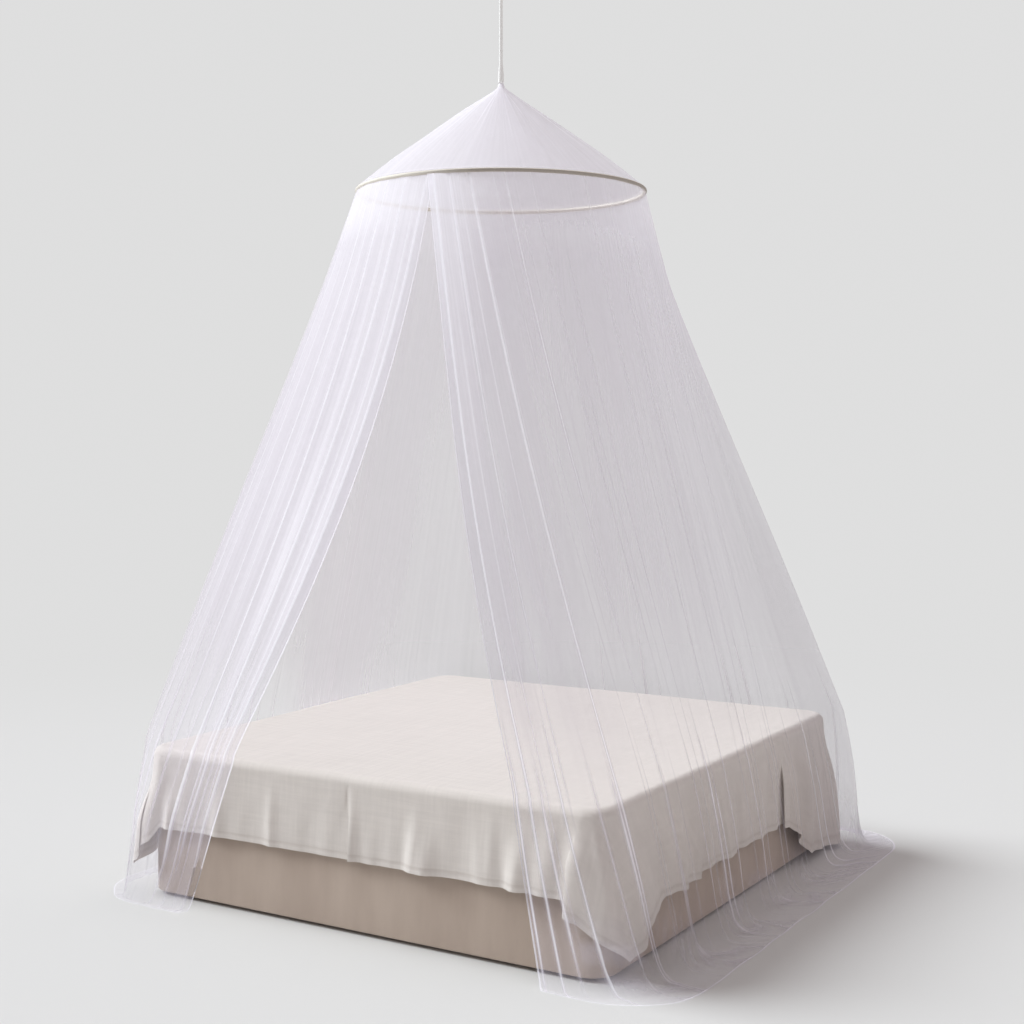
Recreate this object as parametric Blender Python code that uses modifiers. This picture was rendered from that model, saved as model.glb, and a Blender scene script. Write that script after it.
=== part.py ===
"""A mosquito net canopy that hangs from a ceiling hook over a bed and falls over the bed's edges.

Metres, +Z up. The origin is on the floor under the middle of the bed, +X runs along the foot
of the bed and +Y from its foot to its head. Turns round the canopy are in degrees from the
foot of the bed, and grow to the left (-X), the head (+Y) and the right (+X).
"""

import math

import bmesh
import bpy
from mathutils import Vector

# Bed
BED_HALF_WIDTH = 0.980
BED_HALF_LENGTH = 1.015
BED_CORNER = 0.10
PLINTH_INSET = 0.05
PLINTH_HEIGHT = 0.012
BASE_INSET = 0.010
BASE_HEIGHT = 0.2675
BASE_EDGE = 0.006
MATTRESS_INSET = 0.004
MATTRESS_TOP = 0.5540
MATTRESS_EDGE = 0.045

# Bedspread
SPREAD_THICK = 0.002
SPREAD_EDGE = 0.034
SPREAD_FLAT_REACH = 0.35  # share of the corner's radius at which the top turns into strips
SPREAD_BEND_STEPS = 3
SPREAD_HANG_STEPS = 4
SPREAD_FLARE = 0.055
SPREAD_SWING = 1.3  # above 1, a strip starts straight down and swings aside near its hem
SPREAD_WAVE = 0.002

# Canopy: hoop, crown and skirt hang on one upright axis
AXIS = Vector((0.007, -0.05, 0.0))
HOOP_RADIUS = 0.555
HOOP_TUBE = 0.009
HOOP_HEIGHT = 2.6575
HOOP_STEPS = 56
HOOP_SIDES = 6
NET_THICK = 0.002
NET_CLEAR_OF_HOOP = 0.0035  # from the tube to the middle of the cloth
CROWN_HEM_HEIGHT = HOOP_HEIGHT + HOOP_TUBE + NET_CLEAR_OF_HOOP
SKIRT_TOP_HEIGHT = HOOP_HEIGHT - HOOP_TUBE - NET_CLEAR_OF_HOOP
NECK_RADIUS = 0.0095
NECK_HEIGHT = 3.0755

# How the skirt falls from the hoop to the knee
SKIRT_COLUMNS = 132
SKIRT_UPPER_ROWS = 6
SKIRT_CURVE = 1.06  # above 1, it hangs a little inside a straight cone
FOLD_AT_HOOP = 0.004
FOLD_GROWS = 0.028
FOLD_FULL_AT = 0.77  # share of the way down at which the folds have their full depth
OVERLAP_LIFT = 0.012  # the right free edge passes outside the left one, just under the hoop
OVERLAP_START = 0.955
OVERLAP_SPAN = 0.03
OVERLAP_REACH = 0.35

# Crown: gathers run down it, and its hem sways a little
CROWN_COLUMNS = 56
CROWN_GATHERS = 16
CROWN_GATHER_HEIGHT = 0.005
CROWN_SWAYS = 5
CROWN_SWAY_SHARE = 0.4

# Cord and what it hangs from
BINDING_RADIUS = 0.0115
BINDING_LENGTH = 0.065
CORD_RADIUS = 0.007
CORD_TOP = 3.4035
KNOT_RADIUS = 0.0115
KNOT_LENGTH = 0.022
LOOP_HALF_HEIGHT = 0.020
LOOP_HALF_WIDTH = 0.014
LOOP_STEPS = 20
CORD_STEPS = 14
HOOK_WIRE = 0.004
HOOK_BEND = 0.0125
HOOK_SHANK = 0.012
HOOK_SWAN_NECK = 0.014
HOOK_BEND_STEPS = 8
PLATE_RADIUS = 0.032
PLATE_THICK = 0.0055
PLATE_EDGE = 0.002
CEILING_HEIGHT = 3.5225
GAP = 0.0003

# The hanging edge of the bedspread, in strips that go round the bed anticlockwise, seen from
# above. Each corner is measured along the bed's outline from where its rounding starts: the
# strip's place at the top and at its hem, how far it drops, and how far it stands out. A step in
# "out" is where the cloth turns back on itself; the longest strip is the cloth's hanging point.
CORNER_COLUMNS = ("right", "head", "starts_on_end")
CORNERS = {
    "front_right": (1, -1, True),
    "head_right": (1, 1, False),
    "head_left": (-1, 1, True),
    "front_left": (-1, -1, False),
}
STRIP_COLUMNS = ("place", "hem", "drop", "out")
STRIPS = {
    "front_right": [
        (-0.620, -0.620, 0.256, 0.000),
        (-0.420, -0.420, 0.256, 0.002),
        (-0.310, -0.310, 0.256, 0.008),
        (-0.250, -0.250, 0.256, 0.001),
        (-0.190, -0.190, 0.256, 0.012),
        (-0.130, -0.130, 0.256, 0.002),
        (-0.045, -0.045, 0.256, 0.001),
        (-0.015, -0.024, 0.285, 0.017),
        (0.020, 0.012, 0.318, 0.016),
        (0.052, 0.080, 0.388, 0.013),
        (0.085, 0.150, 0.458, 0.012),
        (0.120, 0.285, 0.392, 0.009),
        (0.157, 0.427, 0.322, 0.006),
        (0.260, 0.500, 0.318, 0.003),
        (0.480, 0.650, 0.318, 0.006),
        (0.800, 0.880, 0.318, 0.002),
    ],
    "head_right": [
        (-0.640, -0.640, 0.318, 0.006),
        (-0.500, -0.500, 0.318, 0.001),
        (-0.455, -0.460, 0.330, 0.020),
        (-0.360, -0.360, 0.402, 0.014),
        (-0.310, -0.310, 0.440, 0.030),
        (-0.260, -0.260, 0.480, 0.014),
        (-0.200, -0.200, 0.486, 0.032),
        (-0.140, -0.140, 0.492, 0.014),
        (-0.080, -0.080, 0.498, 0.028),
        (0.000, 0.000, 0.500, 0.012),
        (0.039, 0.039, 0.500, 0.020),
        (0.079, 0.079, 0.500, 0.014),
        (0.118, 0.118, 0.500, 0.018),
        (0.157, 0.157, 0.498, 0.010),
        (0.450, 0.450, 0.400, 0.004),
        (0.800, 0.800, 0.290, 0.002),
    ],
    "head_left": [
        (-0.600, -0.600, 0.256, 0.002),
        (-0.250, -0.250, 0.256, 0.004),
        (0.000, 0.000, 0.256, 0.003),
        (0.042, 0.050, 0.341, 0.005),
        (0.085, 0.100, 0.420, 0.006),
        (0.120, 0.200, 0.369, 0.005),
        (0.157, 0.300, 0.318, 0.004),
        (0.300, 0.410, 0.318, 0.002),
        (0.600, 0.660, 0.318, 0.005),
    ],
    "front_left": [
        (-0.600, -0.660, 0.318, 0.005),
        (-0.300, -0.410, 0.318, 0.002),
        (0.000, -0.143, 0.318, 0.004),
        (0.037, -0.043, 0.369, 0.005),
        (0.072, 0.057, 0.420, 0.006),
        (0.115, 0.107, 0.341, 0.005),
        (0.157, 0.157, 0.256, 0.003),
        (0.400, 0.400, 0.256, 0.004),
        (0.740, 0.740, 0.256, 0.001),
    ],
}

# How far the skirt stands outside the bed, and its height, at each level down from the knee,
# where it passes the mattress, to the hem, which lies on the floor.
LEVEL_COLUMNS = ("height", "left", "right", "foot", "head", "corner", "fall", "fold")
LEVELS = {
    "knee": (0.615, 0.006, 0.034, 0.007, 0.040, 0.13, 0.00, 0.026),
    "edge": (0.535, 0.020, 0.052, 0.021, 0.064, 0.13, 0.12, 0.026),
    "shin": (0.335, 0.055, 0.080, 0.048, 0.095, 0.15, 0.45, 0.030),
    "ankle": (0.105, 0.090, 0.104, 0.070, 0.125, 0.18, 0.85, 0.034),
    "touch": (0.010, 0.114, 0.138, 0.086, 0.160, 0.21, 1.00, 0.028),
    "puddle": (0.0030, 0.152, 0.215, 0.106, 0.215, 0.25, 1.00, 0.016),
    "hem": (0.0012, 0.192, 0.278, 0.124, 0.250, 0.28, 1.00, 0.010),
}

# Where the cloth goes: its share along the skirt from the left free edge to the right one, its
# turn at the hoop, at the knee and on the floor, and how far it bows sideways on the way down.
STATION_COLUMNS = ("along", "hoop", "knee", "floor", "bow")
STATIONS = [
    (0.00, -6.4, 27.0, 32.6, -9.2),
    (0.06, 14.0, 34.0, 38.0, -6.5),
    (0.16, 52.0, 51.0, 52.5, -2.5),
    (0.28, 96.0, 90.0, 90.0, 0.0),
    (0.41, 143.0, 136.0, 136.0, 0.0),
    (0.50, 180.0, 178.0, 178.0, 0.0),
    (0.60, 218.0, 218.0, 218.0, 0.0),
    (0.70, 254.0, 250.0, 250.0, 0.0),
    (0.82, 300.0, 284.0, 281.0, 1.0),
    (0.92, 338.0, 311.0, 306.5, 1.0),
    (1.00, 356.0, 327.0, 323.3, 2.2),
]

# Main folds of the skirt: where along it, how wide (share of the skirt), and how deep.
FOLD_COLUMNS = ("along", "wide", "deep")
FOLDS = [
    (0.012, 0.012, 0.70),
    (0.040, 0.016, 1.00),
    (0.074, 0.014, 0.75),
    (0.104, 0.017, 1.10),
    (0.146, 0.018, 0.90),
    (0.190, 0.022, 1.00),
    (0.238, 0.020, 0.70),
    (0.290, 0.024, 1.05),
    (0.345, 0.022, 0.80),
    (0.402, 0.025, 1.10),
    (0.460, 0.022, 0.75),
    (0.512, 0.024, 1.00),
    (0.566, 0.022, 0.85),
    (0.622, 0.025, 1.10),
    (0.676, 0.020, 0.70),
    (0.722, 0.024, 0.95),
    (0.776, 0.022, 1.05),
    (0.826, 0.018, 0.70),
    (0.868, 0.020, 1.00),
    (0.912, 0.016, 0.80),
    (0.950, 0.014, 1.10),
    (0.984, 0.012, 0.80),
]

# Crown of the net, down from its neck: share of the way out to the hoop, share of the way down.
PROFILE_COLUMNS = ("out", "down")
CROWN_PROFILE = [
    (0.000, 0.000),
    (0.006, 0.030),
    (0.035, 0.082),
    (0.240, 0.262),
    (0.500, 0.505),
    (0.760, 0.748),
    (1.000, 1.000),
]

COLLECTION = bpy.data.collections.new("mosquito_net_canopy_and_bed")


def clear_scene():
    for old in list(bpy.data.objects):
        bpy.data.objects.remove(old, do_unlink=True)
    bpy.context.scene.collection.children.link(COLLECTION)


def material(name, colour, roughness, metallic=0.0):
    made = bpy.data.materials.new(name)
    made.use_nodes = True
    shader = made.node_tree.nodes["Principled BSDF"]
    shader.inputs["Base Color"].default_value = (*colour, 1.0)
    shader.inputs["Roughness"].default_value = roughness
    shader.inputs["Metallic"].default_value = metallic
    return made


def place(name, data, finish):
    piece = bpy.data.objects.new(name, data)
    COLLECTION.objects.link(piece)
    data.materials.append(finish)
    return piece


def mesh_piece(name, shape, finish):
    bmesh.ops.recalc_face_normals(shape, faces=shape.faces)
    mesh = bpy.data.meshes.new(name)
    shape.to_mesh(mesh)
    shape.free()
    mesh.shade_smooth()
    return place(name, mesh, finish)


def heading(turn):
    """The outward direction at a turn round the canopy."""
    angle = math.radians(turn)
    return Vector((-math.sin(angle), -math.cos(angle), 0.0))


def smooth(value):
    value = min(max(value, 0.0), 1.0)
    return value * value * (3.0 - 2.0 * value)


def table_row(columns, row):
    return dict(zip(columns, row, strict=True))


def between(rows, columns, key, value):
    """A smooth curve through the rows of a table, read where the column key has this value."""
    places = [row[columns.index(key)] for row in rows]
    last = len(rows) - 2
    here = max(i for i in range(last + 1) if i == 0 or places[i] <= value)
    span = places[here + 1] - places[here]
    share = (value - places[here]) / span
    found = {}
    for i, name in enumerate(columns):
        start, end = rows[here][i], rows[here + 1][i]
        before = rows[max(here - 1, 0)]
        after = rows[min(here + 2, last + 1)]
        slope_in = (end - before[i]) / (places[here + 1] - before[columns.index(key)])
        slope_out = (after[i] - start) / (after[columns.index(key)] - places[here])
        rise = share * share * (3.0 - 2.0 * share)
        found[name] = (
            start
            + (end - start) * rise
            + slope_in * span * share * (1.0 - share) ** 2
            - slope_out * span * share * share * (1.0 - share)
        )
    return found


def reach(turn, level):
    """How far from the axis the level's rounded outline lies at this turn."""
    low = Vector((-BED_HALF_WIDTH - level["left"], -BED_HALF_LENGTH - level["foot"]))
    high = Vector((BED_HALF_WIDTH + level["right"], BED_HALF_LENGTH + level["head"]))
    middle = (low + high) / 2.0
    half = (high - low) / 2.0
    corner = level["corner"]
    towards = heading(turn).to_2d()
    near, far = 0.5, 2.0
    for _ in range(36):
        tried = (near + far) / 2.0
        at = AXIS.to_2d() + towards * tried - middle
        over_x = abs(at.x) - (half.x - corner)
        over_y = abs(at.y) - (half.y - corner)
        outside = math.hypot(max(over_x, 0.0), max(over_y, 0.0)) + min(max(over_x, over_y), 0.0)
        if outside > corner:
            far = tried
        else:
            near = tried
    return near


def fold_height(along):
    """0 in a trough of the skirt's main folds, about 1 on a crest."""
    height = 0.0
    for row in FOLDS:
        fold = table_row(FOLD_COLUMNS, row)
        off = (along - fold["along"]) / fold["wide"]
        height += fold["deep"] * math.exp(-off * off)
    return height


def overlap_lift(along, down):
    """How far the cloth near the right free edge stands out to pass over the left one."""
    near_edge = smooth((along - OVERLAP_START) / OVERLAP_SPAN)
    return OVERLAP_LIFT * near_edge * (1.0 - smooth(down / OVERLAP_REACH))


def skirt_upper(along, down):
    """A point between the hoop (down 0) and the knee (down 1)."""
    station = between(STATIONS, STATION_COLUMNS, "along", along)
    knee = table_row(LEVEL_COLUMNS, LEVELS["knee"])
    top = heading(station["hoop"]) * HOOP_RADIUS
    bottom = heading(station["knee"]) * reach(station["knee"], knee)
    plan = top.lerp(bottom, down**SKIRT_CURVE)
    towards = plan.normalized()
    sideways = Vector((-towards.y, towards.x, 0.0))
    bow = math.radians(station["bow"]) * math.sin(math.pi * down)
    plan = plan - sideways * bow * plan.length
    fold = fold_height(along) * (FOLD_AT_HOOP + FOLD_GROWS * smooth(down / FOLD_FULL_AT))
    plan += towards * (fold + overlap_lift(along, down))
    height = SKIRT_TOP_HEIGHT + (knee["height"] - SKIRT_TOP_HEIGHT) * down
    return AXIS + plan + Vector((0.0, 0.0, height))


def skirt_lower(along, name):
    """A point on one of the named levels from the knee down."""
    level = table_row(LEVEL_COLUMNS, LEVELS[name])
    station = between(STATIONS, STATION_COLUMNS, "along", along)
    turn = station["knee"] + (station["floor"] - station["knee"]) * level["fall"]
    out = reach(turn, level) + fold_height(along) * level["fold"]
    return AXIS + heading(turn) * out + Vector((0.0, 0.0, level["height"]))


def loft(rows, closed):
    """Quads between rows of points, all of one length."""
    shape = bmesh.new()
    made = [[shape.verts.new(point) for point in row] for row in rows]
    count = len(rows[0])
    last = count if closed else count - 1
    for upper, lower in zip(made, made[1:], strict=False):
        for i in range(last):
            after = (i + 1) % count
            shape.faces.new((upper[i], lower[i], lower[after], upper[after]))
    return shape, made


def thicken(piece, thickness):
    solid = piece.modifiers.new("Thickness", "SOLIDIFY")
    solid.thickness = thickness
    solid.offset = 0.0
    solid.use_even_offset = True
    return piece


def skirt_net(finish):
    places = [i / (SKIRT_COLUMNS - 1) for i in range(SKIRT_COLUMNS)]
    rows = []
    for i in range(SKIRT_UPPER_ROWS):
        down = i / SKIRT_UPPER_ROWS
        rows.append([skirt_upper(along, down) for along in places])
    for name in LEVELS:
        rows.append([skirt_lower(along, name) for along in places])
    shape, _ = loft(rows, closed=False)
    return thicken(mesh_piece("skirt_net", shape, finish), NET_THICK)


def crown_net(finish):
    """A cone from the neck to the top of the hoop, its ripples dying out at both ends."""
    rows = []
    for entry in CROWN_PROFILE:
        level = table_row(PROFILE_COLUMNS, entry)
        radius = NECK_RADIUS + (HOOP_RADIUS - NECK_RADIUS) * level["out"]
        height = NECK_HEIGHT + (CROWN_HEM_HEIGHT - NECK_HEIGHT) * level["down"]
        gather = CROWN_GATHER_HEIGHT * math.sin(math.pi * level["out"])
        row = []
        for i in range(CROWN_COLUMNS):
            turn = 360.0 * i / CROWN_COLUMNS
            ripple = math.cos(math.radians(turn * CROWN_GATHERS))
            ripple += CROWN_SWAY_SHARE * math.sin(math.radians(turn * CROWN_SWAYS))
            lift = Vector((0.0, 0.0, height + gather * ripple))
            row.append(AXIS + heading(turn) * radius + lift)
        rows.append(row)
    shape, _ = loft(rows, closed=True)
    return thicken(mesh_piece("crown_net", shape, finish), NET_THICK)


def hoop(finish):
    bpy.ops.mesh.primitive_torus_add(
        major_radius=HOOP_RADIUS,
        minor_radius=HOOP_TUBE,
        major_segments=HOOP_STEPS,
        minor_segments=HOOP_SIDES,
        location=AXIS + Vector((0.0, 0.0, HOOP_HEIGHT)),
    )
    ring = bpy.context.active_object
    ring.name = "hoop"
    ring.data.name = ring.name
    ring.data.materials.append(finish)
    ring.data.shade_smooth()
    for group in list(ring.users_collection):
        group.objects.unlink(ring)
    COLLECTION.objects.link(ring)
    return ring


def rounded_block(name, half_width, half_length, corner, bottom, top, edge, finish):
    """A box with round upright corners, its other edges eased by a Bevel modifier."""
    shape = bmesh.new()
    bmesh.ops.create_cube(shape, size=2.0)
    size = (half_width, half_length, (top - bottom) / 2.0)
    bmesh.ops.scale(shape, vec=size, verts=shape.verts)
    bmesh.ops.translate(shape, vec=(0.0, 0.0, (top + bottom) / 2.0), verts=shape.verts)
    upright = [e for e in shape.edges if abs(e.verts[0].co.z - e.verts[1].co.z) > 1e-6]
    bmesh.ops.bevel(
        shape, geom=upright, offset=corner, segments=5, profile=0.5, affect="EDGES"
    )
    block = mesh_piece(name, shape, finish)
    block.data.set_sharp_from_angle(angle=math.radians(40.0))
    if edge:
        eased = block.modifiers.new("Edge", "BEVEL")
        eased.width = edge
        eased.segments = 3
        eased.limit_method = "ANGLE"
        eased.angle_limit = math.radians(60.0)
    return block


def bed(taupe, ticking):
    base_top = PLINTH_HEIGHT + BASE_HEIGHT
    rounded_block(
        "bed_plinth",
        BED_HALF_WIDTH - PLINTH_INSET,
        BED_HALF_LENGTH - PLINTH_INSET,
        BED_CORNER - PLINTH_INSET,
        0.0,
        PLINTH_HEIGHT - GAP,
        0.0,
        taupe,
    )
    rounded_block(
        "bed_base",
        BED_HALF_WIDTH - BASE_INSET,
        BED_HALF_LENGTH - BASE_INSET,
        BED_CORNER - BASE_INSET,
        PLINTH_HEIGHT,
        base_top,
        BASE_EDGE,
        taupe,
    )
    rounded_block(
        "mattress",
        BED_HALF_WIDTH - MATTRESS_INSET,
        BED_HALF_LENGTH - MATTRESS_INSET,
        BED_CORNER - MATTRESS_INSET,
        base_top + GAP,
        MATTRESS_TOP,
        MATTRESS_EDGE,
        ticking,
    )


def round_the_bed(corner, moved, away):
    """A point beside the bed, this far along its outline and away from the corner's centre."""
    arc = BED_CORNER * math.pi / 2.0
    turn = min(max(moved / BED_CORNER, 0.0), math.pi / 2.0)
    first = moved if moved < 0.0 else away * math.sin(turn)
    second = arc - moved if moved > arc else away * math.cos(turn)
    across, along = (first, second) if corner["starts_on_end"] else (second, first)
    return Vector(
        (
            corner["right"] * (BED_HALF_WIDTH - BED_CORNER + across),
            corner["head"] * (BED_HALF_LENGTH - BED_CORNER + along),
            0.0,
        )
    )


def spread_strip(corner, strip, wave):
    """One strip of the bedspread, from the flat top over the edge and down to its hem."""
    top = MATTRESS_TOP + GAP + SPREAD_THICK / 2.0
    inner = BED_CORNER - SPREAD_EDGE
    start = round_the_bed(corner, strip["place"], inner * SPREAD_FLAT_REACH)
    points = [start + Vector((0.0, 0.0, top))]
    for k in range(SPREAD_BEND_STEPS + 1):
        angle = math.pi / 2.0 * k / SPREAD_BEND_STEPS
        over = round_the_bed(corner, strip["place"], inner + SPREAD_EDGE * math.sin(angle))
        points.append(over + Vector((0.0, 0.0, top - SPREAD_EDGE * (1.0 - math.cos(angle)))))
    for k in range(1, SPREAD_HANG_STEPS + 1):
        down = k / SPREAD_HANG_STEPS
        fallen = strip["drop"] * down
        moved = strip["place"] + (strip["hem"] - strip["place"]) * down**SPREAD_SWING
        out = strip["out"] * smooth(down) + wave * down + SPREAD_FLARE * fallen
        beside = round_the_bed(corner, moved, BED_CORNER + out)
        points.append(beside + Vector((0.0, 0.0, top - SPREAD_EDGE - fallen)))
    return points


def bedspread(finish):
    """One cloth: flat on the mattress, over its edge and down, with pointed hanging corners."""
    strips = []
    for name, entry in CORNERS.items():
        corner = table_row(CORNER_COLUMNS, entry)
        for row in STRIPS[name]:
            wave = SPREAD_WAVE * (1.0 + math.sin(2.0 * len(strips)))
            strips.append(spread_strip(corner, table_row(STRIP_COLUMNS, row), wave))
    rows = list(zip(*strips, strict=True))
    shape, made = loft(rows, closed=True)
    shape.faces.new(made[0])
    return thicken(mesh_piece("bedspread", shape, finish), SPREAD_THICK)


def turned(name, profile, finish, steps=16):
    """A profile of (radius, height), top to bottom, turned about the canopy's axis."""
    shape = bmesh.new()
    verts = [shape.verts.new((radius, 0.0, height)) for radius, height in profile]
    for upper, lower in zip(verts, verts[1:], strict=False):
        shape.edges.new((upper, lower))
    mesh = bpy.data.meshes.new(name)
    shape.to_mesh(mesh)
    shape.free()
    piece = place(name, mesh, finish)
    piece.location = AXIS
    screw = piece.modifiers.new("Turn", "SCREW")
    screw.steps = steps
    screw.render_steps = steps
    screw.use_merge_vertices = True
    screw.merge_threshold = 0.0001
    screw.use_smooth_shade = True
    return piece


def tube(name, points, radius, finish, sides=2, closed=False):
    curve = bpy.data.curves.new(name, "CURVE")
    curve.dimensions = "3D"
    curve.bevel_depth = radius
    curve.bevel_resolution = sides
    curve.use_fill_caps = True
    spline = curve.splines.new("POLY")
    spline.points.add(len(points) - 1)
    for slot, point in zip(spline.points, points, strict=True):
        slot.co = (*point, 1.0)
    spline.use_cyclic_u = closed
    spline.use_smooth = True
    return place(name, curve, finish)


def top_binding(finish):
    low = NECK_HEIGHT + NET_THICK
    high = low + BINDING_LENGTH
    profile = [
        (0.0, high),
        (BINDING_RADIUS * 0.66, high),
        (BINDING_RADIUS * 0.86, high - BINDING_LENGTH * 0.3),
        (BINDING_RADIUS, low + BINDING_LENGTH * 0.3),
        (BINDING_RADIUS * 0.96, low),
        (0.0, low),
    ]
    turned("top_binding", profile, finish)
    return high


def cord_and_hook(cord_finish, steel, binding_top):
    start = binding_top + GAP
    heights = [start + (CORD_TOP - start) * i / CORD_STEPS for i in range(CORD_STEPS + 1)]
    points = [AXIS + Vector((0.0, 0.0, height)) for height in heights]
    tube("cord", points, CORD_RADIUS, cord_finish)

    knot_low = CORD_TOP + GAP
    knot_top = knot_low + KNOT_LENGTH
    knot = [
        (0.0, knot_top),
        (KNOT_RADIUS * 0.6, knot_top),
        (KNOT_RADIUS, knot_top - KNOT_LENGTH * 0.3),
        (KNOT_RADIUS, knot_low + KNOT_LENGTH * 0.3),
        (KNOT_RADIUS * 0.6, knot_low),
        (0.0, knot_low),
    ]
    turned("cord_knot", knot, cord_finish, steps=12)

    loop_middle = knot_top + GAP + CORD_RADIUS + LOOP_HALF_HEIGHT
    ring = []
    for i in range(LOOP_STEPS):
        angle = 2.0 * math.pi * i / LOOP_STEPS
        across = LOOP_HALF_WIDTH * math.sin(angle)
        up = loop_middle + LOOP_HALF_HEIGHT * math.cos(angle)
        ring.append(AXIS + Vector((0.0, across, up)))
    tube("hanging_loop", ring, CORD_RADIUS, cord_finish, closed=True)

    clear = CORD_RADIUS + HOOK_WIRE + 2.0 * GAP
    bend_middle = loop_middle + LOOP_HALF_HEIGHT - clear + HOOK_BEND
    plate_low = CEILING_HEIGHT - PLATE_THICK
    wire = [
        (0.0, plate_low - GAP),
        (0.0, plate_low - HOOK_SHANK),
        (HOOK_BEND * 0.4, bend_middle + HOOK_SWAN_NECK),
        (HOOK_BEND * 0.9, bend_middle + HOOK_SWAN_NECK * 0.43),
    ]
    for i in range(HOOK_BEND_STEPS + 1):
        angle = math.pi * i / HOOK_BEND_STEPS
        wire.append((HOOK_BEND * math.cos(angle), bend_middle - HOOK_BEND * math.sin(angle)))
    wire.append((-HOOK_BEND * 1.15, bend_middle + HOOK_SWAN_NECK * 0.57))
    hook_points = [AXIS + Vector((x, 0.0, z)) for x, z in wire]
    tube("ceiling_hook", hook_points, HOOK_WIRE, steel)

    plate = [
        (0.0, CEILING_HEIGHT),
        (PLATE_RADIUS, CEILING_HEIGHT),
        (PLATE_RADIUS, plate_low + PLATE_EDGE),
        (PLATE_RADIUS - PLATE_EDGE, plate_low),
        (0.0, plate_low),
    ]
    turned("ceiling_plate", plate, steel, steps=32)


def build():
    clear_scene()
    net = material("net", (0.93, 0.93, 0.95), 0.85)
    cream = material("hoop_cream", (0.80, 0.74, 0.64), 0.55)
    cord_white = material("cord_white", (0.88, 0.87, 0.85), 0.85)
    linen = material("linen", (0.76, 0.71, 0.65), 0.90)
    taupe = material("taupe", (0.38, 0.32, 0.26), 0.90)
    ticking = material("ticking", (0.80, 0.78, 0.74), 0.90)
    steel = material("steel_white", (0.82, 0.82, 0.80), 0.40, metallic=0.3)
    bed(taupe, ticking)
    bedspread(linen)
    hoop(cream)
    crown_net(net)
    skirt_net(net)
    binding_top = top_binding(net)
    cord_and_hook(cord_white, steel, binding_top)


build()
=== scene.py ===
import math
import random

import bmesh
import bpy
import numpy as np
from mathutils import Matrix, Vector


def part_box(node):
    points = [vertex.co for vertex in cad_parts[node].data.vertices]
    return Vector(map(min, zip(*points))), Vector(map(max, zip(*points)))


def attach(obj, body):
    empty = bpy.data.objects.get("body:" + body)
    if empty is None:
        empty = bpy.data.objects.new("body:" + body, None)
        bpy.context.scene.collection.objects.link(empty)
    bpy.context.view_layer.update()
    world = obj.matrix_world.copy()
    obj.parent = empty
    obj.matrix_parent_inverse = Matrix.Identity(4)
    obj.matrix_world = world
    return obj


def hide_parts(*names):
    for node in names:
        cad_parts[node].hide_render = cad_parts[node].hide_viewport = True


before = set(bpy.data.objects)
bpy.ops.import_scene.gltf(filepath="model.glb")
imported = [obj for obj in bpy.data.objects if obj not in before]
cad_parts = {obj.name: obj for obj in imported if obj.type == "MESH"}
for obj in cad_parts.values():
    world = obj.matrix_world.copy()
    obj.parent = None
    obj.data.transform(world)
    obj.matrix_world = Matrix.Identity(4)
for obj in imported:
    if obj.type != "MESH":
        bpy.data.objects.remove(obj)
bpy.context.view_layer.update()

scene = bpy.context.scene
print("frame loaded:", len(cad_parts), "nodes")


def boxOf(node):
    low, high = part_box(node)
    return Vector(low), Vector(high), (Vector(low) + Vector(high)) / 2


def addObject(name, data):
    made = bpy.data.objects.new(name, data)
    scene.collection.objects.link(made)
    return made


camera = {"place": (3.217, -5.272, 1.7555), "turn": 31.184, "tilt": -3.153, "lens": 55.0}


def makeCamera(settings):
    data = bpy.data.cameras.new("camera")
    data.lens = settings["lens"]
    data.clip_end = 200
    eye = addObject("camera", data)
    eye.location = settings["place"]
    eye.rotation_euler = (math.radians(90 + settings["tilt"]), 0, math.radians(settings["turn"]))
    scene.camera = eye


makeCamera(camera)
scene.view_settings.view_transform = "Standard"
scene.cycles.transparent_max_bounces = 40


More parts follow.
